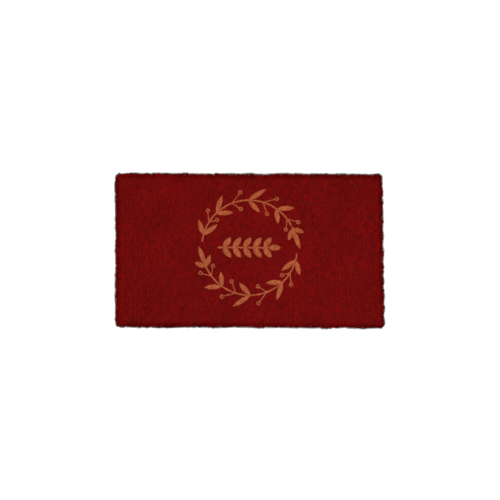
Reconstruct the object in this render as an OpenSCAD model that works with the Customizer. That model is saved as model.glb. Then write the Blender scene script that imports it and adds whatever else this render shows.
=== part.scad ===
// Door mat: cut coir pile with an inlaid leaf wreath, on a hand-woven ground with laced edges.
// The mat lies flat. X runs along its long side, Y along its short side and Z up out of the pile.
// The origin is the middle of the underside.

/* [Mat] */
// Length of the mat over the pile
mat_l = 700; // [560:1:1000]
// Width of the mat over the pile
mat_w = 400; // [333:1:700]
// Height of the cut pile above the ground weave
pile_h = 16; // [8:0.5:30]
// Radius of the mat's corners
corner_r = 9; // [4:0.5:30]
// How far the pile stands out past the laced edge
pile_over = 5; // [2:0.5:10]

/* [Ground weave] */
// Diameter of the warp cords, which run along the mat
warp_d = 3.2; // [2.4:0.1:4.5]
// Diameter of the weft cords, which run across the mat
weft_d = 3.2; // [2.4:0.1:4.5]
// Spacing of the warp cords
warp_pitch = 22; // [12:1:40]
// Spacing of the weft cords, and so of the rows of pile
weft_pitch = 10.5; // [8:0.5:14]

/* [Laced edge] */
// Diameter of the lacing cord
lace_d = 2; // [1.4:0.1:2.4]
// Number of weft cords from one lacing stitch to the next on the long sides
wefts_per_stitch = 2; // [1:1:6]
// Spacing of the lacing stitches on the short sides
short_stitch_pitch = 18; // [8:0.5:40]

/* [Leaf wreath] */
// Radius of the circle that both sprigs follow
wreath_r = 125; // [100:1:150]
// Middle of the wreath along the mat, from the mat's middle
wreath_x = 0; // [-20:1:20]
// Middle of the wreath across the mat, from the mat's middle
wreath_y = 7.5; // [-10:0.5:10]
// Width of a sprig's stem
stem_w = 4; // [3:0.5:7]
// Width of a leaf at its middle
leaf_w = 12.5; // [10:0.5:18]
// Width of a berry's stalk
stalk_w = 2.5; // [2:0.5:4.5]
// Diameter of a berry
berry_d = 11; // [8:0.5:13]
// Diameter of a berry's darker centre
berry_centre_d = 4; // [2.5:0.5:5]

/* [Middle twig] */
// Pairs of leaves on the twig inside the wreath
twig_pairs = 5; // [3:1:8]
// Space kept between the ends of the twig and the wreath
twig_clear = 10; // [8:1:40]
// Width of the twig's stem
twig_stem_w = 5; // [3:0.5:7]

/* [Hidden] */
$fn = 64;

// Gap between one area of pile and the next, where the tufts change colour.
inlay_gap = 0.3;
// Gap between the edge cord and the lacing wound round it.
lace_gap = 0.1;
// Gap between cords that end beside each other, and between the lacing and the pile above it.
cord_gap = 0.2;
// Depth of the flat worn on the underside of the lower warps, on which the mat lies.
warp_flat = 0.2;

// The ground weave is three layers of cords: lower warps, wefts and upper warps.
lower_warp_z = warp_d / 2 - warp_flat;
weft_z = warp_d - warp_flat + weft_d / 2;
upper_warp_z = warp_d - warp_flat + weft_d + warp_d / 2;
ground_h = 2 * warp_d - warp_flat + weft_d;

// The edge cord and its lacing together are as thick as the ground weave.
lace_reach = (ground_h - cord_gap) / 2;
edge_d = 2 * (lace_reach - lace_d - lace_gap);
edge_x = mat_l / 2 - pile_over - lace_reach;
edge_y = mat_w / 2 - pile_over - lace_reach;
lace_r = edge_d / 2 + lace_gap + lace_d / 2;

// Cords of the weave stop short of the lacing, but each weft meets the long edge cords.
weave_x = edge_x - lace_reach - cord_gap;
weave_y = edge_y - lace_reach - cord_gap;
warp_steps = floor((weave_y - warp_d / 2) / warp_pitch);
weft_steps = floor((weave_x - weft_d / 2) / weft_pitch - 0.5);
long_stitch_pitch = wefts_per_stitch * weft_pitch;
long_stitch_steps = floor((edge_x - edge_d / 2 - lace_d / 2 - cord_gap) / long_stitch_pitch);
short_stitch_steps = floor((weave_y - lace_d / 2) / short_stitch_pitch);

// A sprig runs clockwise round the wreath. Its nodes are given by the angle travelled from the
// cut end of its stem, and its leaves and stalks by the angle at which they leave the stem.
// Their lengths are shares of the wreath's radius.
upper_start = 173;
lower_start = -7;
stem_travel = 151;
// Each row is a pair of leaves: [travel, outer share, outer turn, inner share, inner turn].
leaf_pairs = [
    [8, 0.33, 31, 0.37, 38],
    [39, 0.40, 27, 0.36, 41],
    [82, 0.44, 31, 0.35, 48],
    [118, 0.38, 38, 0.31, 49]
];
// Each row is a fork with two berries, written the same way.
berry_forks = [
    [25, 0.25, 37, 0.18, 42],
    [62, 0.29, 32, 0.22, 54],
    [100, 0.30, 31, 0.26, 54],
    [136, 0.24, 38, 0.22, 45]
];
// The last three leaves: [travel, share, turn], with turns to the inside below 0.
end_leaves = [
    [149, 0.25, 46],
    [151, 0.42, -3],
    [149, 0.27, -44]
];
// The inmost reach of the wreath's leaves and berries, which the twig stays inside.
leaf_reach = max([for (p = leaf_pairs) p[3] * sin(p[4])]) * wreath_r;
berry_reach = max([for (f = berry_forks) f[3] * sin(f[4])]) * wreath_r + berry_d / 2;
twig_half = wreath_r - max(leaf_reach, berry_reach) - twig_clear;
// The twig's leaves leave room for each other along its stem.
// The last leaf lies along the stem and takes a little more than one spacing.
twig_pitch = 2 * twig_half / (twig_pairs + 1.2);
twig_leaf_l = 1.25 * twig_pitch;
twig_leaf_w = 0.55 * twig_pitch;
twig_turn = 52;

// ---- Ground weave ----

module cord_along_x(length, d) {
    rotate([0, 90, 0])
        cylinder(h = length, d = d, center = true);
}

module cord_along_y(length, d) {
    rotate([90, 0, 0])
        cylinder(h = length, d = d, center = true);
}

module warps(z) {
    for (i = [-warp_steps : warp_steps])
        translate([0, i * warp_pitch, z])
            cord_along_x(2 * weave_x, warp_d);
}

module lower_warps() {
    color("peru")
        difference() {
            warps(lower_warp_z);
            translate([-mat_l / 2, -mat_w / 2, -warp_d])
                cube([mat_l, mat_w, warp_d]);
        }
}

module upper_warps() {
    color("peru")
        warps(upper_warp_z);
}

module wefts() {
    color("burlywood")
        for (i = [0 : weft_steps], side = [-1, 1])
            translate([side * (i + 0.5) * weft_pitch, 0, weft_z])
                cord_along_y(2 * edge_y - edge_d, weft_d);
}

// ---- Laced edge ----

module long_edge_cord(side) {
    color("sienna")
        translate([0, side * edge_y, lace_reach])
            cord_along_x(2 * edge_x + edge_d, edge_d);
}

module short_edge_cord(side) {
    color("sienna")
        translate([side * edge_x, 0, lace_reach])
            cord_along_y(2 * edge_y - edge_d, edge_d);
}

module stitch() {
    rotate_extrude()
        translate([lace_r, 0])
            circle(d = lace_d);
}

module long_edge_lacing(side) {
    color("tan")
        for (i = [-long_stitch_steps : long_stitch_steps])
            translate([i * long_stitch_pitch, side * edge_y, lace_reach])
                rotate([0, 90, 0])
                    stitch();
}

module short_edge_lacing(side) {
    color("tan")
        for (i = [-short_stitch_steps : short_stitch_steps])
            translate([side * edge_x, i * short_stitch_pitch, lace_reach])
                rotate([90, 0, 0])
                    stitch();
}

// ---- Outlines of the inlaid design ----
// Each outline takes a margin, by which it grows all round where the field is cut for it.

// A pointed leaf from the origin along +X, between two arcs.
module leaf_outline(length, width, margin) {
    arc_r = (length * length + width * width) / (4 * width);
    intersection_for(side = [-1, 1])
        translate([length / 2, side * (arc_r - width / 2)])
            circle(r = arc_r + margin, $fn = 128);
}

// Places its children at a sprig's stem: +X along the stem and +Y away from the wreath's middle.
module on_stem(start, travel) {
    rotate(start - travel)
        translate([wreath_r, 0])
            rotate(-90)
                children();
}

module sprig_stem_outline(start, margin) {
    // A wedge whose far side is well outside the ring marks off the stem's stretch of it.
    margin_turn = margin / wreath_r * 180 / PI;
    wedge_step = (stem_travel + 2 * margin_turn) / 4;
    wedge_turns = [for (i = [0 : 4]) start + margin_turn - i * wedge_step];
    intersection() {
        difference() {
            circle(r = wreath_r + stem_w / 2 + margin, $fn = 128);
            circle(r = wreath_r - stem_w / 2 - margin, $fn = 128);
        }
        polygon([[0, 0], for (turn = wedge_turns) 2 * wreath_r * [cos(turn), sin(turn)]]);
    }
}

// One leaf of a sprig, cut back to leave the stem clear.
module sprig_leaf_outline(start, travel, share, turn, margin) {
    difference() {
        on_stem(start, travel)
            rotate(turn)
                leaf_outline(share * wreath_r, leaf_w, margin);
        sprig_stem_outline(start, inlay_gap - margin);
    }
}

module sprig_leaves_outline(start, margin) {
    for (p = leaf_pairs) {
        sprig_leaf_outline(start, p[0], p[1], p[2], margin);
        sprig_leaf_outline(start, p[0], p[3], -p[4], margin);
    }
    for (e = end_leaves)
        sprig_leaf_outline(start, e[0], e[1], e[2], margin);
}

// Places its children at each berry of a sprig.
module at_berries(start) {
    for (f = berry_forks)
        on_stem(start, f[0]) {
            rotate(f[2])
                translate([f[1] * wreath_r, 0])
                    children();
            rotate(-f[4])
                translate([f[3] * wreath_r, 0])
                    children();
        }
}

module sprig_berries_outline(start, margin) {
    at_berries(start)
        circle(d = berry_d + 2 * margin);
}

module sprig_stalks_outline(start, margin) {
    difference() {
        for (f = berry_forks)
            on_stem(start, f[0]) {
                rotate(f[2])
                    translate([0, -stalk_w / 2 - margin])
                        square([f[1] * wreath_r, stalk_w + 2 * margin]);
                rotate(-f[4])
                    translate([0, -stalk_w / 2 - margin])
                        square([f[3] * wreath_r, stalk_w + 2 * margin]);
            }
        sprig_stem_outline(start, inlay_gap - margin);
        sprig_berries_outline(start, inlay_gap - margin);
    }
}

module sprig_outline(start, margin) {
    sprig_stem_outline(start, margin);
    sprig_leaves_outline(start, margin);
    sprig_stalks_outline(start, margin);
    sprig_berries_outline(start, margin);
}

module twig_stem_outline(margin) {
    translate([-twig_half - margin, -twig_stem_w / 2 - margin])
        square([2 * twig_half - twig_leaf_l + 2 * margin, twig_stem_w + 2 * margin]);
}

module twig_leaves_outline(margin) {
    difference() {
        union() {
            for (i = [1 : twig_pairs], side = [-1, 1])
                translate([-twig_half + (i - 0.5) * twig_pitch, 0])
                    rotate(side * twig_turn)
                        leaf_outline(twig_leaf_l, twig_leaf_w, margin);
            translate([twig_half - twig_leaf_l, 0])
                leaf_outline(twig_leaf_l, twig_leaf_w, margin);
        }
        twig_stem_outline(inlay_gap - margin);
    }
}

// Places a flat outline on the mat at the wreath's middle.
module at_wreath() {
    translate([wreath_x, wreath_y])
        children();
}

// ---- Pile ----

// Tufts standing on the ground weave, over a flat outline.
module tufts() {
    translate([0, 0, ground_h])
        linear_extrude(height = pile_h)
            children();
}

module mat_outline() {
    x = mat_l / 2 - corner_r;
    y = mat_w / 2 - corner_r;
    square([2 * x, mat_w], center = true);
    square([mat_l, 2 * y], center = true);
    for (i = [-1, 1], j = [-1, 1])
        translate([i * x, j * y])
            circle(r = corner_r);
}

module field_pile() {
    color("darkred")
        tufts()
            difference() {
                mat_outline();
                at_wreath() {
                    sprig_outline(upper_start, inlay_gap);
                    sprig_outline(lower_start, inlay_gap);
                    twig_stem_outline(inlay_gap);
                    twig_leaves_outline(inlay_gap);
                }
            }
}

module sprig_stem(start) {
    color("indianred")
        tufts()
            at_wreath()
                sprig_stem_outline(start, 0);
}

module sprig_leaves(start) {
    color("chocolate")
        tufts()
            at_wreath()
                sprig_leaves_outline(start, 0);
}

module sprig_stalks(start) {
    color("indianred")
        tufts()
            at_wreath()
                sprig_stalks_outline(start, 0);
}

module sprig_berries(start) {
    color("chocolate")
        tufts()
            at_wreath()
                at_berries(start)
                    difference() {
                        circle(d = berry_d);
                        circle(d = berry_centre_d + 2 * inlay_gap);
                    }
}

module berry_centres(start) {
    color("darkred")
        tufts()
            at_wreath()
                at_berries(start)
                    circle(d = berry_centre_d);
}

module twig_stem() {
    color("indianred")
        tufts()
            at_wreath()
                twig_stem_outline(0);
}

module twig_leaves() {
    color("chocolate")
        tufts()
            at_wreath()
                twig_leaves_outline(0);
}

lower_warps();
wefts();
upper_warps();
long_edge_cord(-1);  // front_edge_cord
long_edge_cord(1);  // back_edge_cord
short_edge_cord(-1);  // left_edge_cord
short_edge_cord(1);  // right_edge_cord
long_edge_lacing(-1);  // front_edge_lacing
long_edge_lacing(1);  // back_edge_lacing
short_edge_lacing(-1);  // left_edge_lacing
short_edge_lacing(1);  // right_edge_lacing
field_pile();
sprig_stem(upper_start);  // upper_sprig_stem
sprig_leaves(upper_start);  // upper_sprig_leaves
sprig_stalks(upper_start);  // upper_sprig_stalks
sprig_berries(upper_start);  // upper_sprig_berries
berry_centres(upper_start);  // upper_berry_centres
sprig_stem(lower_start);  // lower_sprig_stem
sprig_leaves(lower_start);  // lower_sprig_leaves
sprig_stalks(lower_start);  // lower_sprig_stalks
sprig_berries(lower_start);  // lower_sprig_berries
berry_centres(lower_start);  // lower_berry_centres
twig_stem();
twig_leaves();
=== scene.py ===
import math
from functools import partialmethod

import bpy
import numpy as np
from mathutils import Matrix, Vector


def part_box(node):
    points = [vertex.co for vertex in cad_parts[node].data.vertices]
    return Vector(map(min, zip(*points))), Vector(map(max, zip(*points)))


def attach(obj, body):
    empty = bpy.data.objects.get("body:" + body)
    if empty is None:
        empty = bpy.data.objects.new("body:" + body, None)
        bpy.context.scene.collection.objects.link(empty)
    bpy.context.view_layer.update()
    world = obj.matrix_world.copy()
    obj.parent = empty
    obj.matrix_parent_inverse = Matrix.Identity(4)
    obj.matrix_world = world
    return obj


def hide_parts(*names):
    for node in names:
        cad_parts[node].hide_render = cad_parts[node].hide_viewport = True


bl_info = {
    "name": "Coir Door Mat",
    "version": (1, 0, 0),
    "blender": (4, 5, 0),
    "location": "View3D > Sidebar > Door Mat",
    "description": "Grows the pile, cords and lacing of a hand-woven coir door mat round its frame",
    "category": "Object",
}

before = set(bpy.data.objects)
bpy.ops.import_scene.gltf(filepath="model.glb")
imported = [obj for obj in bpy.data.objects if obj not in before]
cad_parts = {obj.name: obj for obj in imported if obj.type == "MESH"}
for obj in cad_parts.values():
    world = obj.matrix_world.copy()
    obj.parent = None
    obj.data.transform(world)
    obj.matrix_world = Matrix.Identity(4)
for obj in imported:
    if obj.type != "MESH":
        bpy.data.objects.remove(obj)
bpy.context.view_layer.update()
BODY = "root"

# The frame gives the mat's outline, the level where the pile starts and the level where it is cut.
FIELD_LOW, FIELD_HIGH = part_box("field_pile")
MAT_LENGTH = FIELD_HIGH.x - FIELD_LOW.x
MAT_WIDTH = FIELD_HIGH.y - FIELD_LOW.y
GROUND_TOP = FIELD_LOW.z
PILE_TOP = FIELD_HIGH.z

# How the rim wanders: the fineness and the strength of its long waves and of its short bumps.
RIM_WAVES = (38.0, 3.0)
RIM_BUMPS = (130.0, 1.4)
# The least and the greatest share of the rim's lean that one fibre takes.
RIM_LEAN_SHARES = (0.82, 1.12)
# How much lower the outermost fibres are cut.
RIM_DROP = 0.0022
# Rim fibres stand where the way into the rim band is past this share.
RIM_START = 0.15
# How far the shortest fibres are cut below the others, in the field and at the rim.
HEIGHT_SPREAD = 0.0030
RIM_HEIGHT_SPREAD = 0.004
# A tuft's fibres lean together over patches of this fineness, longer across the mat.
TUFT_FINENESS = 120.0
TUFT_STRETCH = (1.0, 0.55, 1.0)
# How far roots gather towards the middle of their row, as a share of the way.
ROW_PULL = 0.2
# How far a root lies below the level that its fibre rises from.
ROOT_SUNK = 0.001
# A fibre's half width as a share of the set width, the part of it that is gone at the tip, and
# the power of the length along it by which it leans.
GIRTHS = (0.36, 0.64)
TIP_TAPER = 0.25
BEND = 1.4
# A fibre's cell on its map: the margin and the filled share across and along it, and its ends.
CELL_MARGIN = (0.15, 0.12)
CELL_FILL = (0.7, 0.76)
CELL_END = 0.16
# Shares of the field's lean, tuft lean and fibre width that inlaid fibres take. Thin lines of
# tufts lean less, so that they keep their edges.
LEAF_SHARES = (0.7, 0.6, 0.9)
THIN_SHARES = (0.35, 0.3, 0.725)
# Seeds: the step from piece to piece, and where the rim's and the inlay's start.
SEED_STEP = 100
RIM_SEED = 1000
INLAY_SEED = 3000

# The kinds of shade on a fibre (at the root and at the rim it is painted shade), and for each
# colour of pile its material and their strengths.
SHADES = ("Root Shade", "Tuft Shade", "Cloud Shade", "Rim Shade", "Speck Shade")
FIBRES = {
    "red": ("Dyed coir fibre", (0.5, 2.9, 0.9, 0.92, 5.0)),
    "tan": ("Tan coir fibre", (0.5, 1.3, 0.5, 0.0, 4.0)),
}
# The fineness of tufts, clouds and specks in the fibres' tone, and where specks begin.
TUFT_GRAIN = (235.0, 195.0, 60.0)
CLOUD_GRAIN = 11.0
SPECK_GRAIN = (260.0, 230.0, 80.0)
SPECK_START = 0.58

# The bed of packed pile: how far it stops short of the outline, its mesh's step, its corners.
BED_INSET = 0.0030
BED_STEP = 0.0035
BED_CORNER = 0.006
# Its top: roughness, the rows' height, and the width and depth of its sloping border.
BED_ROUGHNESS = 0.0006
BED_ROWS = 0.0008
BED_BORDER = 0.009
BED_BORDER_DROP = 0.0085
# Its underside: how far inside the weave the feet of the tufts begin, the way over which they
# deepen, the level outside them, how far they reach down, and how far that varies.
FEET_MARGIN = 0.002
FEET_FADE = 0.003
FEET_TOP = 0.0002
FEET_DEPTH = 0.0040
FEET_ROWS = 0.0012
FEET_ROUGHNESS = 0.0007
# The top and the underside of an inlaid bed, from the top of the field's.
INLAY_BED_TOP = 0.0008
INLAY_BED_LOW = -0.003

# Cords: how far the warps swing sideways round the wefts, how far the wefts waver, and how fine.
WARP_SWING = 0.0011
WEFT_WAVER = 0.0012
WAVER_FINENESS = 90.0
# The plies and the section points of a cord and of a rope, and how deep the grooves between
# the plies are, as a share of the radius.
YARN = (2, 6)
ROPE = (3, 12)
PLY_GROOVE = 0.30
# Edges: the way from turn to turn of the lacing, its yarn's twist and the meshes' step.
LACING_PITCH = 0.0075
LACING_TWIST = 0.006
EDGE_STEP = 0.0022

# The stage: half the floor's side, the lamp, the sky, and the camera's view (as a share of the
# mat's length), lens, film and target.
FLOOR_HALF = 6.0
LAMP_PLACE = (0.0, -0.18, 3.6)
LAMP_SIZE = 0.7
LAMP_POWER = 125.0
SKY_STRENGTH = 0.5
VIEW_SHARE = 1.873
LENS = 85.0
FILM = 36.0
TARGET = Vector((0.0021, 0.0010, PILE_TOP))

# Each inlaid area of pile: the CAD node, its colour and the name of the piece it becomes.
SPRIG_PARTS = (
    ("sprig_stem", "tan", "stem"),
    ("sprig_leaves", "tan", "leaf"),
    ("sprig_stalks", "tan", "stalk"),
    ("sprig_berries", "tan", "berry"),
    ("berry_centres", "red", "berry_centre"),
)
INLAYS = (
    *(
        (f"{side}_{node}", colour, f"{side}_{piece}_tufts")
        for side in ("upper", "lower")
        for node, colour, piece in SPRIG_PARTS
    ),
    ("twig_stem", "tan", "twig_stem_tufts"),
    ("twig_leaves", "tan", "twig_leaf_tufts"),
)


# ---- Settings ----


def length_property(name, description, default):
    return bpy.props.FloatProperty(
        name=name, description=description, default=default, min=0.0, unit="LENGTH", precision=4
    )


def colour_property(name, description, default):
    return bpy.props.FloatVectorProperty(
        name=name, description=description, default=default, size=3, subtype="COLOR", min=0, max=1
    )


class MatPileSettings(bpy.types.PropertyGroup):
    """Sizes of the cut pile."""

    spacing: length_property("Spacing", "Distance between the roots of fibres in the field", 0.0014)
    inlay_spacing: length_property("Inlay spacing", "The same for inlaid fibres", 0.0011)
    rim_spacing: length_property("Rim spacing", "The same for fibres at the rim", 0.00118)
    fibre_width: length_property("Fibre width", "Width of a fibre at its root", 0.00115)
    row_pitch: length_property("Row pitch", "Spacing of the rows of tufts", 0.0105)
    bed_depth: length_property("Bed depth", "Depth of the packed pile below the cut ends", 0.0048)
    rim_band: length_property("Rim band", "Width of the band where the pile leans out", 0.010)
    end_lean: length_property("End lean", "How far the rim leans out over the ends", 0.0052)
    side_lean: length_property("Side lean", "How far it leans out over the long sides", 0.0062)
    rim_inset: length_property("Rim inset", "How far inside the outline roots end", 0.0013)
    wave: length_property("Wave", "How far the rim wanders in and out", 0.0028)
    lean: length_property("Lean", "How far a fibre leans at random", 0.0011)
    tuft_lean: length_property("Tuft lean", "How far the fibres of a tuft lean together", 0.0016)
    skew: bpy.props.FloatProperty(
        name="Skew",
        description="How far the pile leans out of square, as a share of its width",
        default=0.0105,
    )
    strips: bpy.props.IntProperty(
        name="Strips", description="Strips that the field is grown in", default=9, min=1, max=40
    )
    seed: bpy.props.IntProperty(name="Seed", description="Seed of all that is random", default=7)


class MatCordSettings(bpy.types.PropertyGroup):
    """Sizes of the cords under the pile."""

    ply_twist: length_property("Ply twist", "Length of one full turn of a cord's plies", 0.013)
    rope_twist: length_property("Rope twist", "The same for an edge cord's plies", 0.019)
    step: length_property("Step", "Length of one step along a cord", 0.0030)


class MatColourSettings(bpy.types.PropertyGroup):
    """Colours of the fibres and cords."""

    red_dark: colour_property("Dark red", "Darkest of the dyed fibres", (0.155, 0.0011, 0.0011))
    red: colour_property("Red", "Most of the dyed fibres", (0.287, 0.0012, 0.0011))
    red_light: colour_property("Light red", "Lightest of the dyed fibres", (0.430, 0.0050, 0.0046))
    tan_dark: colour_property("Dark tan", "Darkest of the inlaid fibres", (0.402, 0.0755, 0.033))
    tan: colour_property("Tan", "Most of the inlaid fibres", (0.632, 0.164, 0.059))
    tan_light: colour_property("Light tan", "Lightest of the inlaid fibres", (0.745, 0.308, 0.088))
    cord: colour_property("Cord", "Natural coir cord", (0.330, 0.180, 0.075))
    cord_dark: colour_property("Dark cord", "Darker fibres of the cord", (0.120, 0.055, 0.022))
    edge_cord: colour_property("Edge cord", "Thick cord along the edges", (0.240, 0.120, 0.050))
    lacing: colour_property("Lacing", "Yarn wound round the edges", (0.420, 0.260, 0.120))
    floor: colour_property("Floor", "Floor under the mat", (0.900, 0.900, 0.900))


# ---- Writing node trees ----


def socket(sockets, name):
    """The enabled socket of that name."""
    return next(s for s in sockets if s.enabled and s.name == name)


def add_sockets(tree, in_out, kinds):
    """Adds a tree's inputs or outputs, given as the names of each kind of socket."""
    for kind, names in kinds.items():
        for name in names:
            tree.interface.new_socket(name=name, in_out=in_out, socket_type="NodeSocket" + kind)


class TreeWriter:
    """Adds nodes to a tree. A value is a plain value or another node's socket."""

    def __init__(self, tree):
        self.tree = tree

    def put(self, target, value):
        if isinstance(value, bpy.types.NodeSocket):
            self.tree.links.new(value, target)
        else:
            target.default_value = value

    def add(self, kind, values=None, **settings):
        made = self.tree.nodes.new(kind)
        for name, value in settings.items():
            setattr(made, name, value)
        for name, value in (values or {}).items():
            self.put(socket(made.inputs, name), value)
        return made

    def out(self, kind, output, values=None, **settings):
        return socket(self.add(kind, values, **settings).outputs, output)

    def math(self, operation, *values, clamp=False):
        made = self.tree.nodes.new("ShaderNodeMath")
        made.operation = operation
        made.use_clamp = clamp
        for place, value in enumerate(values):
            self.put(made.inputs[place], value)
        return made.outputs[0]

    def vector(self, operation, *values):
        made = self.tree.nodes.new("ShaderNodeVectorMath")
        made.operation = operation
        for place, value in enumerate(values):
            number = operation == "SCALE" and place == 1
            self.put(made.inputs["Scale"] if number else made.inputs[place], value)
        return made.outputs["Value" if operation == "LENGTH" else "Vector"]

    def noise(self, place, scale, detail=2.0, colour=False):
        values = {"Vector": place, "Scale": scale, "Detail": detail}
        made = self.add("ShaderNodeTexNoise", values, noise_dimensions="3D")
        return made.outputs[1 if colour else 0]

    plus = partialmethod(math, "ADD")
    minus = partialmethod(math, "SUBTRACT")
    times = partialmethod(math, "MULTIPLY")
    over = partialmethod(math, "DIVIDE")
    scaled = partialmethod(vector, "SCALE")

    def swing(self, noise, strength):
        """A noise from 0 to 1 as an amount to either side of nothing."""
        return self.times(self.minus(noise, 0.5), strength)

    def combine(self, x, y, z):
        return self.out("ShaderNodeCombineXYZ", "Vector", {"X": x, "Y": y, "Z": z})

    def flat(self, value):
        """The part of a vector that lies in the mat's plane."""
        return self.vector("MULTIPLY", value, (1.0, 1.0, 0.0))

    def separate(self, value):
        return self.add("ShaderNodeSeparateXYZ", {"Vector": value}).outputs[:]


class GeometryWriter(TreeWriter):
    """A geometry tree with named inputs and one geometry output."""

    def __init__(self, name, **inputs):
        super().__init__(bpy.data.node_groups.new(name, "GeometryNodeTree"))
        geometry = {"Geometry": ["Geometry"]}
        add_sockets(self.tree, "OUTPUT", geometry)
        add_sockets(self.tree, "INPUT", geometry | inputs | {"Material": ["Material"]})
        self.given = self.tree.nodes.new("NodeGroupInput").outputs

    def node(self, kind, output, values=None, **settings):
        return self.out("GeometryNode" + kind, output, values, **settings)

    def position(self):
        return self.node("InputPosition", "Position")

    def random(self, low, high, seed, kind="FLOAT"):
        values = {"Min": low, "Max": high, "Seed": seed}
        return self.out("FunctionNodeRandomValue", "Value", values, data_type=kind)

    def store(self, geometry, name, value, kind="FLOAT", domain="POINT"):
        values = {"Geometry": geometry, "Name": name, "Value": value}
        return self.node("StoreNamedAttribute", "Geometry", values, data_type=kind, domain=domain)

    def named(self, name, kind="FLOAT"):
        return self.node("InputNamedAttribute", "Attribute", {"Name": name}, data_type=kind)

    def face_mean(self, value):
        """A point value's average over each face."""
        return self.node(
            "FieldOnDomain", "Value", {"Value": value}, data_type="FLOAT", domain="FACE"
        )

    def moved(self, geometry, **values):
        """The geometry with its points moved by an Offset or put at a Position."""
        return self.node("SetPosition", "Geometry", {"Geometry": geometry} | values)

    def shaded(self, geometry, smooth):
        values = {"Geometry": geometry, "Shade Smooth": smooth}
        return self.node("SetShadeSmooth", "Geometry", values)

    def finish(self, geometry):
        """Ends the tree: instances made real, material set."""
        real = self.node("RealizeInstances", "Geometry", {"Geometry": geometry})
        values = {"Geometry": real, "Material": self.given["Material"]}
        worn = self.node("SetMaterial", "Geometry", values)
        end = self.tree.nodes.new("NodeGroupOutput")
        self.tree.links.new(worn, end.inputs["Geometry"])
        return self.tree


def put_in_scene(name, data):
    """A new object in the scene."""
    made = bpy.data.objects.new(name, data)
    bpy.context.scene.collection.objects.link(made)
    return made


def grow(name, tree, values, mesh=None):
    """A new piece from a geometry tree, as a plain mesh with its modifier removed."""
    start = mesh or bpy.data.meshes.new(name + "_start")
    piece = put_in_scene(name, start)
    grown = piece.modifiers.new("Grow", "NODES")
    grown.node_group = tree
    for item in tree.interface.items_tree:
        if item.in_out == "INPUT" and item.name in values:
            grown[item.identifier] = values[item.name]
    graph = bpy.context.evaluated_depsgraph_get()
    made = bpy.data.meshes.new_from_object(
        piece.evaluated_get(graph), preserve_all_data_layers=True, depsgraph=graph
    )
    piece.modifiers.clear()
    piece.data = made
    made.name = name
    bpy.data.meshes.remove(start)
    if not made.polygons:
        raise RuntimeError(f"{name} came out empty")
    return piece


def settle(piece, node):
    """Hangs a finished piece on the frame, in place of a CAD node."""
    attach(piece, BODY)
    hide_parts(node)
    return piece


# ---- Geometry trees ----


def outward(write, place, half_size, band):
    """The way out from the mat's middle, and how far into the rim band a place is, from 0 up."""
    inner = write.vector("SUBTRACT", half_size, write.combine(band, band, 0.0))
    past = write.vector("SUBTRACT", write.vector("ABSOLUTE", place), inner)
    past = write.vector("MAXIMUM", past, (0.0, 0.0, 0.0))
    past = write.flat(write.vector("MULTIPLY", past, write.vector("SIGN", place)))
    return write.vector("NORMALIZE", past), write.over(write.vector("LENGTH", past), band)


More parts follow.
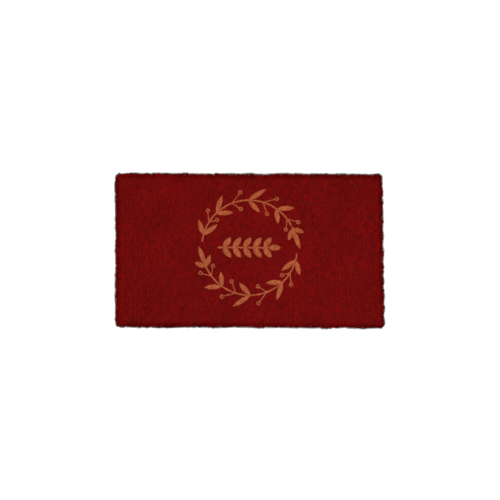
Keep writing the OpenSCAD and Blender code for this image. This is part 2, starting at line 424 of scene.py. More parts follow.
def pile_tree():
    """Fibres that stand on a grid of roots, wherever a given solid lies below or above them."""
    write = GeometryWriter(
        "Cut pile",
        Object=["Area"],
        Vector=["Grid Size", "Grid Middle", "Half Size", "Rim Lean"],
        Float=[
            "Spacing", "Root Level", "Rim Root Level", "Cut Level", "Height Spread", "Fibre Width",
            "Row Pitch", "Row Pull", "Lean", "Tuft Lean", "Rim Band", "Rim Inset", "Rim Only",
            "Wave", "Skew",
        ],
        Int=["Fibre Points", "Seed"],
    )
    given = write.given
    seed = [write.plus(given["Seed"], 10.0 * i) for i in range(8)]

    # Roots on a jittered grid.
    wide, deep, _ = write.separate(given["Grid Size"])
    across = write.math("CEIL", write.over(wide, given["Spacing"]))
    along = write.math("CEIL", write.over(deep, given["Spacing"]))
    values = {
        "Size X": wide,
        "Size Y": deep,
        "Vertices X": write.plus(across, 1.0),
        "Vertices Y": write.plus(along, 1.0),
    }
    grid = write.node("MeshGrid", "Mesh", values)
    points = write.node("MeshToPoints", "Points", {"Mesh": grid})
    steps = (write.times(given["Spacing"], share) for share in (-0.5, 0.5))
    low, high = (write.combine(step, step, 0.0) for step in steps)
    jitter = write.random(low, high, seed[0], "FLOAT_VECTOR")
    points = write.moved(points, Offset=write.vector("ADD", jitter, given["Grid Middle"]))

    # Roots gather a little towards the middle of their row.
    x, _, _ = write.separate(write.position())
    turn = write.over(write.times(x, math.tau), given["Row Pitch"])
    pull = write.over(write.times(given["Row Pull"], given["Row Pitch"]), math.tau)
    shift = write.times(write.math("SINE", turn), pull)
    points = write.moved(points, Offset=write.combine(shift, 0.0, 0.0))

    # A root is kept where a ray straight down meets the given solid.
    solid = write.node(
        "ObjectInfo", "Geometry", {"Object": given["Area"]}, transform_space="RELATIVE"
    )
    values = {
        "Target Geometry": solid,
        "Source Position": write.vector("ADD", write.flat(write.position()), (0.0, 0.0, 1.0)),
        "Ray Direction": (0.0, 0.0, -1.0),
        "Ray Length": 2.0,
    }
    hit = write.node("Raycast", "Is Hit", values)
    rim, depth = outward(write, write.position(), given["Half Size"], given["Rim Band"])
    rimness = write.math("MINIMUM", depth, 1.0)
    in_rim = write.math("GREATER_THAN", write.plus(rimness, 0.0001), given["Rim Only"])
    keep = write.times(hit, in_rim)
    values = {"Geometry": points, "Selection": write.math("LESS_THAN", keep, 0.5)}
    points = write.node("DeleteGeometry", "Geometry", values, domain="POINT")

    # What each fibre carries from its root.
    points = write.store(points, "tone", write.random(0.0, 1.0, seed[1]))
    points = write.store(points, "number", write.node("InputIndex", "Index"), "INT")
    points = write.store(points, "rim", rimness)
    stored = write.named("rim")
    waves, bumps = (
        write.swing(write.noise(write.position(), fineness, 1.0), strength)
        for fineness, strength in (RIM_WAVES, RIM_BUMPS)
    )
    wander = write.times(write.plus(waves, bumps), given["Wave"])
    square = write.times(rimness, rimness)
    over = write.times(write.minus(rimness, depth), given["Rim Band"])
    reach = write.times(write.minus(wander, given["Rim Inset"]), rimness)
    reach = write.plus(reach, over)
    rim_lean = write.times(square, write.random(*RIM_LEAN_SHARES, seed[2]))
    rim_lean = write.scaled(write.vector("MULTIPLY", rim, given["Rim Lean"]), rim_lean)
    tuft = write.vector("MULTIPLY", write.position(), TUFT_STRETCH)
    tuft = write.noise(tuft, TUFT_FINENESS, 1.0, colour=True)
    tuft = write.vector("SUBTRACT", tuft, (0.5, 0.5, 0.5))
    tuft = write.scaled(tuft, write.times(given["Tuft Lean"], 2.0))
    single = write.random((-1.0, -1.0, 0.0), (1.0, 1.0, 0.0), seed[3], "FLOAT_VECTOR")
    single = write.scaled(single, given["Lean"])
    steadier = write.minus(1.0, write.times(square, 0.5))
    loose = write.scaled(write.vector("ADD", tuft, single), steadier)
    lean = write.flat(write.vector("ADD", rim_lean, loose))
    points = write.store(points, "lean", lean, "FLOAT_VECTOR")
    points = write.moved(points, Offset=write.scaled(rim, reach))

    # Height of the root and length of the fibre.
    steep = write.times(stored, 1.6, clamp=True)
    drop = write.minus(given["Rim Root Level"], given["Root Level"])
    root_z = write.plus(given["Root Level"], write.times(steep, drop))
    shorter = write.random(0.0, 1.0, seed[4])
    shorter = write.times(write.times(shorter, shorter), given["Height Spread"])
    low_rim = write.times(write.math("POWER", stored, 6.0), RIM_DROP)
    height = write.minus(write.minus(given["Cut Level"], root_z), shorter)
    height = write.minus(height, low_rim)
    points = write.store(points, "height", height)
    px, py, _ = write.separate(write.position())
    px = write.minus(px, write.times(py, given["Skew"]))
    points = write.moved(points, Position=write.combine(px, py, root_z))

    # One line stands on each root, and then leans and bends.
    ends = {"Start": (0.0, 0.0, 0.0), "End": (0.0, 0.0, 0.001)}
    line = write.node("CurvePrimitiveLine", "Curve", ends)
    values = {"Curve": line, "Count": given["Fibre Points"]}
    line = write.node("ResampleCurve", "Curve", values)
    stood = write.node("InstanceOnPoints", "Instances", {"Points": points, "Instance": line})
    stood = write.node("RealizeInstances", "Geometry", {"Geometry": stood})
    factor = write.node("SplineParameter", "Factor")
    bend = write.math("POWER", factor, BEND)
    rise = write.times(factor, write.named("height"))
    rise = write.minus(rise, write.times(factor, 0.001))
    sway = write.scaled(write.named("lean", "FLOAT_VECTOR"), bend)
    offset = write.vector("ADD", sway, write.combine(0.0, 0.0, rise))
    stood = write.moved(stood, Offset=offset)
    stood = write.store(stood, "along", factor)

    # The section is a triangle, a little narrower at the tip.
    taper = write.minus(1.0, write.times(factor, TIP_TAPER))
    stood = write.store(stood, "girth", write.random(*GIRTHS, seed[5]), domain="CURVE")
    radius = write.times(given["Fibre Width"], write.named("girth"))
    radius = write.times(radius, taper)
    stood = write.node("SetCurveRadius", "Curve", {"Curve": stood, "Radius": radius})
    ring = write.node("CurvePrimitiveCircle", "Curve", {"Resolution": 3, "Radius": 1.0})
    share = write.over(write.node("InputIndex", "Index"), 3.0)
    ring = write.store(ring, "around", share)
    values = {"Curve": stood, "Profile Curve": ring, "Fill Caps": True}
    swept = write.add("GeometryNodeCurveToMesh", values)
    if "Scale" in swept.inputs:
        write.put(swept.inputs["Scale"], write.node("InputRadius", "Radius"))
    fibres = swept.outputs["Mesh"]
    fibres = write.shaded(fibres, smooth=False)

    # Each fibre has a cell of its own on the map, with its length along V. Its last side runs on
    # past the second, and each end is a small triangle beyond the sides.
    number = write.named("number", "INT")
    values = {"Geometry": fibres, "Attribute": number}
    cells = write.node("AttributeStatistic", "Max", values)
    columns = write.math("CEIL", write.math("SQRT", write.plus(cells, 1.0)))
    row = write.math("FLOOR", write.over(write.plus(number, 0.5), columns))
    column = write.minus(number, write.times(row, columns))
    around, length = write.named("around"), write.named("along")
    face_around, face_length = write.face_mean(around), write.face_mean(length)
    from_half = write.minus(face_length, 0.5)
    end = write.math("GREATER_THAN", write.math("ABSOLUTE", from_half), 0.45)
    last = write.math("COMPARE", face_around, 1.0 / 3.0, 0.05)
    last = write.times(last, write.minus(1.0, end))
    on = write.times(last, write.math("LESS_THAN", around, 0.1))
    beyond = write.times(end, write.math("COMPARE", around, 1.0 / 3.0, 0.05))
    beyond = write.times(beyond, write.times(from_half, CELL_END))
    u = write.times(write.plus(around, on), CELL_FILL[0])
    v = write.plus(write.times(length, CELL_FILL[1]), beyond)
    u = write.plus(column, write.plus(CELL_MARGIN[0], u))
    v = write.plus(row, write.plus(CELL_MARGIN[1], v))
    spot = write.combine(write.over(u, columns), write.over(v, columns), 0.0)
    fibres = write.store(fibres, "OFBake", spot, "FLOAT2", "CORNER")
    return write.finish(fibres)


def cord_tree():
    """A twisted cord swept along each edge chain of the given mesh."""
    write = GeometryWriter(
        "Twisted cord",
        Float=["Diameter", "Twist Length", "Step", "Waver"],
        Int=["Plies", "Section Points"],
    )
    given = write.given
    route = write.node("MeshToCurve", "Curve", {"Mesh": given["Geometry"]})
    route = write.node(
        "ResampleCurve", "Curve", {"Curve": route, "Length": given["Step"]}, mode="LENGTH"
    )
    travelled = write.node("SplineParameter", "Length")
    turn = write.over(write.times(travelled, math.tau), given["Twist Length"])
    route = write.node("SetCurveTilt", "Curve", {"Curve": route, "Tilt": turn})
    route = write.store(route, "travelled", travelled)
    sway = write.noise(write.position(), WAVER_FINENESS, 1.0, colour=True)
    sway = write.scaled(write.vector("SUBTRACT", sway, (0.5, 0.5, 0.5)), given["Waver"])
    route = write.moved(route, Offset=write.flat(sway))

    # The section is a ring with one lobe for each ply, and touches its full diameter at the lobes.
    values = {"Resolution": given["Section Points"], "Radius": 1.0}
    ring = write.node("CurvePrimitiveCircle", "Curve", values)
    share = write.over(write.node("InputIndex", "Index"), given["Section Points"])
    ring = write.store(ring, "around", share)
    lobe = write.times(write.named("around"), math.pi)
    lobe = write.times(lobe, given["Plies"])
    lobe = write.minus(1.0, write.math("ABSOLUTE", write.math("SINE", lobe)))
    size = write.minus(1.0, write.times(lobe, PLY_GROOVE))
    size = write.times(size, write.times(given["Diameter"], 0.5))
    ring = write.moved(ring, Position=write.scaled(write.position(), size))
    values = {"Curve": route, "Profile Curve": ring, "Fill Caps": True}
    swept = write.add("GeometryNodeCurveToMesh", values)
    return write.finish(write.shaded(swept.outputs["Mesh"], smooth=True))


def tree_named(name, make):
    return bpy.data.node_groups.get(name) or make()


# ---- Shader groups and materials ----


class ShaderGroup(TreeWriter):
    """A shader node group with named inputs and outputs."""

    def __init__(self, name, inputs, outputs):
        super().__init__(bpy.data.node_groups.new(name, "ShaderNodeTree"))
        add_sockets(self.tree, "INPUT", inputs)
        add_sockets(self.tree, "OUTPUT", outputs)
        self.given = self.tree.nodes.new("NodeGroupInput").outputs
        self.result = self.tree.nodes.new("NodeGroupOutput").inputs

    def attribute(self, name):
        made = self.add("ShaderNodeAttribute", attribute_name=name, attribute_type="GEOMETRY")
        return made.outputs["Fac"]

    def mix(self, factor, first, second, blend="MIX"):
        made = self.add("ShaderNodeMix", data_type="RGBA", blend_type=blend)
        for name, value in (("Factor", factor), ("A", first), ("B", second)):
            self.put(socket(made.inputs, name), value)
        return socket(made.outputs, "Result")


def fibre_tone_group():
    """A fibre's colour: its own shade, darker towards the root and on the outermost rim fibres as
    painted shade, with faint tufts and clouds.
    """
    write = ShaderGroup(
        "Fibre Tone", {"Color": ["Dark", "Middle", "Light"], "Float": SHADES}, {"Color": ["Color"]}
    )
    given = write.given
    tone = write.attribute("tone")
    low = write.times(tone, 2.0, clamp=True)
    high = write.times(write.minus(tone, 0.78), 4.5, clamp=True)
    colour = write.mix(low, given["Dark"], given["Middle"])
    colour = write.mix(high, colour, given["Light"])
    # Painted shade: each fibre is darkened towards its root, standing in for the shade that falls
    # among the standing fibres.
    along = write.math("POWER", write.attribute("along"), 0.8)
    shade = write.times(write.minus(1.0, given["Root Shade"]), along)
    shade = write.plus(given["Root Shade"], shade)
    place = write.add("ShaderNodeTexCoord").outputs["Object"]
    tufts = write.noise(write.vector("MULTIPLY", place, TUFT_GRAIN), 1.0)
    clouds = write.noise(place, CLOUD_GRAIN)
    tufts = write.swing(tufts, given["Tuft Shade"])
    clouds = write.swing(clouds, given["Cloud Shade"])
    streak = write.plus(1.0, write.plus(tufts, clouds))
    # Painted shade: the outermost fibres, which lean out over the edge, are darkened strongly, most
    # of all at the very rim.
    rim = write.attribute("rim")
    rim = write.times(write.math("POWER", rim, 3.5), given["Rim Shade"])
    shade = write.times(shade, streak)
    shade = write.times(shade, write.minus(1.0, rim))
    grey = write.combine(shade, shade, shade)
    specks = write.noise(write.vector("MULTIPLY", place, SPECK_GRAIN), 1.0, 0.0)
    specks = write.minus(specks, SPECK_START)
    specks = write.times(specks, given["Speck Shade"], clamp=True)
    colour = write.mix(specks, colour, given["Light"])
    write.put(write.result["Color"], write.mix(1.0, colour, grey, "MULTIPLY"))
    return write.tree


def yarn_group():
    """Twisted coir yarn: fibres that run along the plies, as colour and as height."""
    write = ShaderGroup(
        "Coir Yarn",
        {"Color": ["Light", "Dark"], "Float": ["Fineness"]},
        {"Color": ["Color"], "Float": ["Height"]},
    )
    given = write.given
    around = write.times(write.attribute("around"), math.tau)
    place = write.add("ShaderNodeTexCoord").outputs["Object"]
    travelled = write.times(write.attribute("travelled"), 60.0)
    ring = write.combine(write.math("SINE", around), write.math("COSINE", around), travelled)
    ring = write.vector("MULTIPLY", ring, (4.0, 4.0, 1.0))
    ring = write.vector("ADD", ring, write.scaled(place, 3.0))
    fibres = write.noise(ring, given["Fineness"], 3.0)
    grime = write.times(write.noise(place, 45.0), 0.9)
    mask = write.plus(write.swing(fibres, 2.6), grime, clamp=True)
    write.put(write.result["Color"], write.mix(mask, given["Dark"], given["Light"]))
    write.put(write.result["Height"], fibres)
    return write.tree


def bed_group():
    """Packed fibre ends seen between the standing fibres."""
    write = ShaderGroup(
        "Packed Pile", {"Color": ["Light", "Dark"]}, {"Color": ["Color"], "Float": ["Height"]}
    )
    given = write.given
    place = write.add("ShaderNodeTexCoord").outputs["Object"]
    ends = write.noise(place, 900.0, 1.0)
    rows = write.noise(write.vector("MULTIPLY", place, (190.0, 40.0, 60.0)), 1.0)
    mask = write.minus(ends, 0.35)
    mask = write.plus(mask, write.minus(rows, 0.35), clamp=True)
    # The dark colour shows where the ends and rows are low; the beds give it darkened, as painted
    # shade in the hollows.
    write.put(write.result["Color"], write.mix(mask, given["Dark"], given["Light"]))
    write.put(write.result["Height"], ends)
    return write.tree


def solid(colour, share=1.0):
    """An opaque colour value, at a share of its brightness."""
    return (colour[0] * share, colour[1] * share, colour[2] * share, 1.0)


def new_material(name, roughness, specular):
    """A material with its Principled shader's plain values set."""
    made = bpy.data.materials.new(name)
    made.use_nodes = True
    shader = made.node_tree.nodes["Principled BSDF"]
    shader.inputs["Roughness"].default_value = roughness
    shader.inputs["Specular IOR Level"].default_value = specular
    return made, TreeWriter(made.node_tree), shader


def group_in(write, group, values):
    made = write.tree.nodes.new("ShaderNodeGroup")
    made.node_tree = group
    for name, value in values.items():
        write.put(made.inputs[name], value)
    return made


def fibre_material(colour):
    """The material of one colour of standing fibres."""
    name, strengths = FIBRES[colour]
    if name in bpy.data.materials:
        return bpy.data.materials[name]
    made, write, shader = new_material(name, 0.75, 0.025)
    colours = bpy.context.scene.mat_colours
    values = {
        tone: solid(getattr(colours, colour + ending))
        for tone, ending in (("Dark", "_dark"), ("Middle", ""), ("Light", "_light"))
    }
    values |= zip(SHADES, strengths)
    tone = group_in(write, tree_named("Fibre Tone", fibre_tone_group), values)
    write.put(shader.inputs["Base Color"], tone.outputs["Color"])
    return made


def bumped_material(name, group, light, dark, roughness, depth, **more):
    """A material whose group gives a colour and a height."""
    if name in bpy.data.materials:
        return bpy.data.materials[name]
    made, write, shader = new_material(name, roughness, 0.2)
    look = group_in(write, group, {"Light": solid(light), "Dark": solid(dark)} | more)
    write.put(shader.inputs["Base Color"], look.outputs["Color"])
    bump = {"Height": look.outputs["Height"], "Strength": 0.8, "Distance": depth}
    write.put(shader.inputs["Normal"], write.out("ShaderNodeBump", "Normal", bump))
    return made


def cord_material(name, light, dark, fineness):
    group = tree_named("Coir Yarn", yarn_group)
    return bumped_material(name, group, light, dark, 0.8, 0.0004, Fineness=fineness)


def bed_material(name, light, dark):
    group = tree_named("Packed Pile", bed_group)
    return bumped_material(name, group, light, dark, 0.95, 0.0010)


# ---- Pieces ----


def grow_pile(name, node, low, high, spacing, colour, seed, changes):
    """The standing fibres of one CAD node within a box, with changes to the usual inputs."""
    pile = bpy.context.scene.mat_pile
    values = {
        "Area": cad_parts[node],
        "Grid Size": (high.x - low.x, high.y - low.y, 0.0),
        "Grid Middle": ((high.x + low.x) / 2, (high.y + low.y) / 2, 0.0),
        "Spacing": spacing,
        "Half Size": (MAT_LENGTH / 2, MAT_WIDTH / 2, 0.0),
        "Root Level": PILE_TOP - pile.bed_depth - ROOT_SUNK,
        "Rim Root Level": GROUND_TOP - ROOT_SUNK,
        "Cut Level": PILE_TOP,
        "Height Spread": HEIGHT_SPREAD,
        "Fibre Width": pile.fibre_width,
        "Fibre Points": 2,
        "Row Pitch": pile.row_pitch,
        "Row Pull": ROW_PULL,
        "Lean": pile.lean,
        "Tuft Lean": pile.tuft_lean,
        "Rim Band": pile.rim_band,
        "Rim Lean": (pile.end_lean, pile.side_lean, 0.0),
        "Rim Inset": pile.rim_inset,
        "Rim Only": 0.0,
        "Wave": pile.wave,
        "Skew": pile.skew,
        "Seed": pile.seed + seed,
        "Material": fibre_material(colour),
    }
    piece = grow(name, tree_named("Cut pile", pile_tree), values | changes)
    settle(piece, node)


class DOORMAT_OT_field_pile(bpy.types.Operator):
    """Grow the dyed pile of the field, in strips along the mat"""

    bl_idname = "door_mat.field_pile"
    bl_label = "Field Pile"

    def execute(self, context):
        pile = context.scene.mat_pile
        deep = MAT_WIDTH / pile.strips
        spacing = pile.spacing * 1.0
        for i in range(pile.strips):
            low = Vector((FIELD_LOW.x, FIELD_LOW.y + i * deep, 0.0))
            high = Vector((FIELD_HIGH.x, FIELD_LOW.y + (i + 1) * deep, 0.0))
            name = f"field_tufts_{i + 1}"
            grow_pile(name, "field_pile", low, high, spacing, "red", SEED_STEP * i, {})
        return {"FINISHED"}


class DOORMAT_OT_rim_pile(bpy.types.Operator):
    """Grow the long outer fibres of the pile along the four sides"""

    bl_idname = "door_mat.rim_pile"
    bl_label = "Rim Pile"

    def execute(self, context):
        pile = context.scene.mat_pile
        band = pile.rim_band
        x0, y0, x1, y1 = *FIELD_LOW.xy, *FIELD_HIGH.xy
        sides = {
            "front": (x0, y0, x1, y0 + band),
            "back": (x0, y1 - band, x1, y1),
            "left": (x0, y0 + band, x0 + band, y1 - band),
            "right": (x1 - band, y0 + band, x1, y1 - band),
        }
        for i, (side, box) in enumerate(sides.items()):
            low, high = Vector(box[:2]), Vector(box[2:])
            changes = {
                "Fibre Points": 3,
                "Rim Only": RIM_START,
                "Height Spread": RIM_HEIGHT_SPREAD,
                "Row Pull": 0.0,
            }
            name, seed = f"{side}_rim_tufts", RIM_SEED + SEED_STEP * i
            grow_pile(name, "field_pile", low, high, pile.rim_spacing, "red", seed, changes)
        return {"FINISHED"}


class DOORMAT_OT_inlay_pile(bpy.types.Operator):
    """Grow the inlaid tufts of the wreath and twig"""

    bl_idname = "door_mat.inlay_pile"
    bl_label = "Inlaid Pile"

    def execute(self, context):
        pile = context.scene.mat_pile
        for i, (node, colour, name) in enumerate(INLAYS):
            lean, tuft_lean, width = LEAF_SHARES if "leaf" in name else THIN_SHARES
            changes = {
                "Row Pull": 0.0,
                "Lean": lean * pile.lean,
                "Tuft Lean": tuft_lean * pile.tuft_lean,
                "Fibre Width": width * pile.fibre_width,
            }
            seed = INLAY_SEED + SEED_STEP * i
            grow_pile(name, node, *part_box(node), pile.inlay_spacing, colour, seed, changes)
        return {"FINISHED"}


def inlay_bed(name, node, top, bottom, material):
    """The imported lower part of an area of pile, as the CAD solid brought down to a lower top."""
    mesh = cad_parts[node].data.copy()
    mesh.name = name
    low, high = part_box(node)
    co = np.empty(len(mesh.vertices) * 3, np.float32)
    mesh.vertices.foreach_get("co", co)
    co = co.reshape(-1, 3)
    share = (co[:, 2] - low.z) / (high.z - low.z)
    co[:, 2] = bottom + share * (top - bottom)
    co[:, 0] -= co[:, 1] * bpy.context.scene.mat_pile.skew
    mesh.vertices.foreach_set("co", co.ravel())
    mesh.materials.clear()
    mesh.materials.append(material)
    mesh.update()
    return put_in_scene(name, mesh)


class DOORMAT_OT_pile_bed(bpy.types.Operator):
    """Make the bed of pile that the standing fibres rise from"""

    bl_idname = "door_mat.pile_bed"
    bl_label = "Pile Bed"

    def execute(self, context):
        pile = context.scene.mat_pile
        colours = context.scene.mat_colours
        top = PILE_TOP - pile.bed_depth
        count_x = int((MAT_LENGTH - 2 * BED_INSET) / BED_STEP)
        count_y = int((MAT_WIDTH - 2 * BED_INSET) / BED_STEP)
        half = np.array([MAT_LENGTH / 2 - BED_INSET, MAT_WIDTH / 2 - BED_INSET])
        weave = np.array(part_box("wefts")[1]) - FEET_MARGIN
        x = np.linspace(-half[0], half[0], count_x)
        x, y = np.meshgrid(x, np.linspace(-half[1], half[1], count_y))

        # Points past a rounded corner come back onto it.
        inner = half - BED_CORNER
        over_x = np.maximum(np.abs(x) - inner[0], 0)
        over_y = np.maximum(np.abs(y) - inner[1], 0)
        far = np.maximum(np.hypot(over_x, over_y), 1e-9)
        back = np.minimum(1.0, BED_CORNER / far)
        corner = (over_x > 0) & (over_y > 0)
        x = np.where(corner, np.sign(x) * (inner[0] + over_x * back), x)
        y = np.where(corner, np.sign(y) * (inner[1] + over_y * back), y)

        # The top is rough, with faint rows, and slopes down at its border.
        rng = np.random.default_rng(pile.seed)
        rows = np.cos(x * math.tau / pile.row_pitch)
        edge = np.maximum(np.abs(x) - half[0], np.abs(y) - half[1])
        z_top = top + rng.uniform(-BED_ROUGHNESS, BED_ROUGHNESS, x.shape) - BED_ROWS * rows
        z_top -= BED_BORDER_DROP * np.clip(1 + edge / BED_BORDER, 0, 1) ** 1.5

        # Below, the feet of the tufts reach down between the cords in rows.
        inside = np.clip((weave[0] - np.abs(x)) / FEET_FADE, 0, 1)
        inside *= np.clip((weave[1] - np.abs(y)) / FEET_FADE, 0, 1)
        z_low = GROUND_TOP + FEET_TOP - inside * (FEET_DEPTH + FEET_ROWS * rows)
        z_low += rng.uniform(0.0, FEET_ROUGHNESS, x.shape)
        x = x - y * pile.skew
        sheets = [np.stack([x, y, z], -1).reshape(-1, 3) for z in (z_top, z_low)]
        index = np.arange(count_x * count_y).reshape(count_y, count_x)
        a, b, c, d = index[:-1, :-1], index[:-1, 1:], index[1:, 1:], index[1:, :-1]
        faces = np.stack([a, b, c, d], -1).reshape(-1, 4)
        lower = faces[:, ::-1] + x.size
        rim = np.concatenate([index[0, :-1], index[:-1, -1], index[-1, :0:-1], index[:0:-1, 0]])
        ahead = np.roll(rim, -1)
        walls = np.stack([rim, rim + x.size, ahead + x.size, ahead], -1)
        mesh = bpy.data.meshes.new("pile_bed")
        points = np.concatenate(sheets)
        mesh.from_pydata(points.tolist(), [], np.concatenate([faces, lower, walls]).tolist())
        # Painted shade: the packed red bed's dark is the dark red at half brightness, for the shade
        # deep among the standing fibres.
        dark = solid(colours.red_dark, 0.5)
        mesh.materials.append(bed_material("Packed red pile", colours.red, dark))
        mesh.update()
        piece = settle(put_in_scene("pile_bed", mesh), "field_pile")
        # Painted shade: the packed tan bed's dark is the dark tan at six tenths of its brightness,
        # for the same shade.
        tan = bed_material("Packed tan pile", colours.tan, solid(colours.tan_dark, 0.6))
        for node, colour, name in INLAYS:
            if colour == "tan":
                bed_name = name.replace("tufts", "bed")
                bed = inlay_bed(bed_name, node, top + INLAY_BED_TOP, top + INLAY_BED_LOW, tan)
                settle(bed, node)
        return {"FINISHED"}


def routes_mesh(name, routes):
    """A mesh of edge chains, one for each route, where a route is an array of points."""
    points, edges, start = [], [], 0
    for route in routes:
        points.extend(route.tolist())
        edges.extend((start + i, start + i + 1) for i in range(len(route) - 1))
        start += len(route)
    mesh = bpy.data.meshes.new(name)
    mesh.from_pydata(points, edges, [])
    return mesh


def straight_centres(node, axis):
    """Where a CAD node's parallel cords lie across the given axis, from the gaps between them."""
    co = np.array([v.co[axis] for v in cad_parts[node].data.vertices])
    levels = np.unique(np.round(co, 6))
    breaks = np.flatnonzero(np.diff(levels) > 0.003)
    starts = np.concatenate([[0], breaks + 1])
    ends = np.concatenate([breaks, [len(levels) - 1]])
    return (levels[starts] + levels[ends]) / 2


def points_from(origin, *terms):
    """Points at an origin plus amounts along axes."""
    points = np.array(origin)[None]
    for amount, axis in terms:
        points = points + np.outer(amount, axis)
    return points


def lay_cord(name, routes, diameter, shape, twist, material, node, step=None, waver=0.0):
    """Cords along the given routes. The shape is the number of plies and of section points."""
    values = {
        "Diameter": diameter,
        "Plies": shape[0],
        "Section Points": shape[1],
        "Twist Length": twist,
        "Step": step or bpy.context.scene.mat_cords.step,
        "Waver": waver,
        "Material": material,
    }
    tree = tree_named("Twisted cord", cord_tree)
    return settle(grow(name, tree, values, routes_mesh(name + "_route", routes)), node)


class DOORMAT_OT_ground_weave(bpy.types.Operator):
    """Weave the warp and weft cords under the pile"""

    bl_idname = "door_mat.ground_weave"
    bl_label = "Ground Weave"

    def execute(self, context):
        colours = context.scene.mat_colours
        warp_low, warp_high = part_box("lower_warps")
        weft_low, weft_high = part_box("wefts")
        warp_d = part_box("upper_warps")[1].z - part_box("upper_warps")[0].z
        weft_d = weft_high.z - weft_low.z
        middle = (weft_low.z + weft_high.z) / 2
        rise = middle - warp_d / 2
        wefts = straight_centres("wefts", 0)
        warps = straight_centres("upper_warps", 1)
        pitch = wefts[1] - wefts[0]
        natural = cord_material("Natural coir cord", colours.cord, colours.cord_dark, 2.2)
        x = np.arange(warp_low.x, warp_high.x, pitch / 6)
        turn = math.pi * (x - wefts[0]) / pitch
        twist = context.scene.mat_cords.ply_twist
        sets = ((1, "chain_warps_a", "lower_warps"), (-1, "chain_warps_b", "upper_warps"))
        for sign, name, node in sets:
            routes = []
            for j, y in enumerate(warps):
                side = sign * (-1) ** j
                across = y + WARP_SWING * side * np.sin(turn)
                routes.append(np.stack([x, across, middle + rise * side * np.cos(turn)], -1))
            lay_cord(name, routes, warp_d, YARN, twist, natural, node, pitch / 4)
        y = np.linspace(weft_low.y, weft_high.y, 60)
        routes = [np.stack([np.full_like(y, w), y, np.full_like(y, middle)], -1) for w in wefts]
        light = solid(colours.cord, 1.15)
        pale = cord_material("Weft coir cord", light, colours.cord_dark, 2.2)
        waver = WEFT_WAVER
        lay_cord("weft_cords", routes, weft_d, YARN, twist, pale, "wefts", waver=waver)
        return {"FINISHED"}


class DOORMAT_OT_laced_edges(bpy.types.Operator):
    """Lay the thick cord along each edge and wind the lacing round it"""

    bl_idname = "door_mat.laced_edges"
    bl_label = "Laced Edges"

    def execute(self, context):
        cords = context.scene.mat_cords
        colours = context.scene.mat_colours
        rope = cord_material("Edge rope", colours.edge_cord, colours.cord_dark, 1.6)
        yarn = cord_material("Lacing yarn", colours.lacing, colours.cord, 3.0)
        for side in ("front", "back", "left", "right"):
            low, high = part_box(f"{side}_edge_cord")
            middle = (low + high) / 2
            along, across = Vector((1, 0, 0)), Vector((0, 1, 0))
            if side in ("left", "right"):
                along, across = across, along
            span = (high - low).dot(along)
            thick = high.z - low.z
            t = np.linspace(-span / 2, span / 2, int(span / 0.004))
            route = points_from(middle, (t, along))
            lay_cord(
                f"{side}_rope", [route], thick, ROPE, cords.rope_twist, rope,
                f"{side}_edge_cord", EDGE_STEP,
            )

            lace_low, lace_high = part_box(f"{side}_edge_lacing")
            lace_span = (lace_high - lace_low).dot(along)
            reach = (lace_high.z - lace_low.z) / 2
            yarn_d = reach - thick / 2
            winds = max(2, round(lace_span / LACING_PITCH))
            turn = np.linspace(0, winds * math.tau, winds * 12)
            t = np.linspace(-lace_span / 2, lace_span / 2, len(turn))
            r = reach - yarn_d / 2
            round_it = ((r * np.cos(turn), across), (r * np.sin(turn), (0.0, 0.0, 1.0)))
            route = points_from(middle, (t, along), *round_it)
            lay_cord(
                f"{side}_lacing", [route], yarn_d, YARN, LACING_TWIST, yarn,
                f"{side}_edge_lacing", EDGE_STEP,
            )
        return {"FINISHED"}


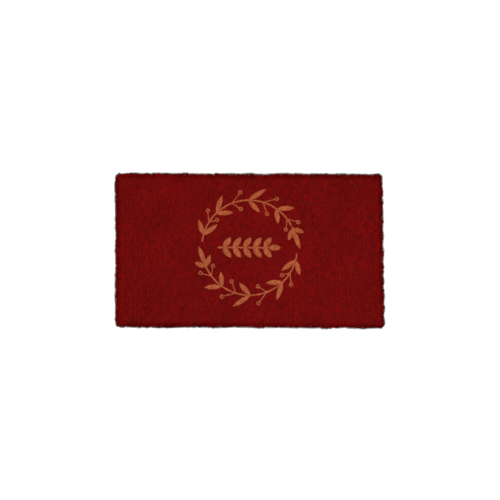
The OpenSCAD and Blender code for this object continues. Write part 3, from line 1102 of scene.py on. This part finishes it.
class DOORMAT_OT_stage(bpy.types.Operator):
    """Set the floor, the lamp and the camera almost straight above"""

    bl_idname = "door_mat.stage"
    bl_label = "Stage"

    def execute(self, context):
        scene = context.scene
        floor_mesh = bpy.data.meshes.new("floor")
        corners = ((-1, -1), (1, -1), (1, 1), (-1, 1))
        points = [(FLOOR_HALF * i, FLOOR_HALF * j, 0.0) for i, j in corners]
        floor_mesh.from_pydata(points, [], [(0, 1, 2, 3)])
        made, _, shader = new_material("Pale floor", 0.9, 0.1)
        shader.inputs["Base Color"].default_value = solid(scene.mat_colours.floor)
        floor_mesh.materials.append(made)
        put_in_scene("floor", floor_mesh)

        world = bpy.data.worlds.new("Studio")
        world.use_nodes = True
        sky = world.node_tree.nodes["Background"].inputs
        sky["Color"].default_value = (1.0, 1.0, 1.0, 1.0)
        sky["Strength"].default_value = SKY_STRENGTH
        scene.world = world
        lamp = bpy.data.lights.new("overhead", "AREA")
        lamp.size = LAMP_SIZE
        lamp.energy = LAMP_POWER
        holder = put_in_scene("overhead", lamp)
        holder.location = LAMP_PLACE
        holder.rotation_euler = Vector(LAMP_PLACE).to_track_quat("Z", "Y").to_euler()

        # The camera looks down from almost straight above.
        away = MAT_LENGTH * VIEW_SHARE * LENS / FILM
        tilt, roll = math.radians(3.0), math.radians(0.2)
        camera_data = bpy.data.cameras.new("camera")
        camera_data.lens = LENS
        camera_data.sensor_width = FILM
        camera = put_in_scene("camera", camera_data)
        camera.location = TARGET + Vector((0.0, -math.sin(tilt), math.cos(tilt))) * away
        camera.rotation_euler = (tilt, 0.0, roll)
        scene.camera = camera
        scene.view_settings.view_transform = "Standard"
        scene.view_settings.look = "None"
        return {"FINISHED"}


OPERATORS = (
    DOORMAT_OT_pile_bed,
    DOORMAT_OT_field_pile,
    DOORMAT_OT_rim_pile,
    DOORMAT_OT_inlay_pile,
    DOORMAT_OT_ground_weave,
    DOORMAT_OT_laced_edges,
    DOORMAT_OT_stage,
)


class DOORMAT_PT_panel(bpy.types.Panel):
    """The mat's operators and settings, in the 3D view's sidebar"""

    bl_idname = "DOORMAT_PT_panel"
    bl_label = "Door Mat"
    bl_space_type = "VIEW_3D"
    bl_region_type = "UI"
    bl_category = "Door Mat"

    def draw(self, context):
        for operator in OPERATORS:
            self.layout.operator(operator.bl_idname)
        for kind in SETTINGS:
            settings = getattr(context.scene, kind)
            for name in settings.__annotations__:
                self.layout.prop(settings, name)


SETTINGS = {
    "mat_pile": MatPileSettings,
    "mat_cords": MatCordSettings,
    "mat_colours": MatColourSettings,
}
CLASSES = (*SETTINGS.values(), *OPERATORS, DOORMAT_PT_panel)


def register():
    for made in CLASSES:
        bpy.utils.register_class(made)
    for name, kind in SETTINGS.items():
        setattr(bpy.types.Scene, name, bpy.props.PointerProperty(type=kind))


def unregister():
    for name in SETTINGS:
        delattr(bpy.types.Scene, name)
    for made in reversed(CLASSES):
        bpy.utils.unregister_class(made)


def main():
    register()
    for operator in OPERATORS:
        getattr(bpy.ops.door_mat, operator.bl_idname.split(".")[1])()


if __name__ == "__main__":
    main()
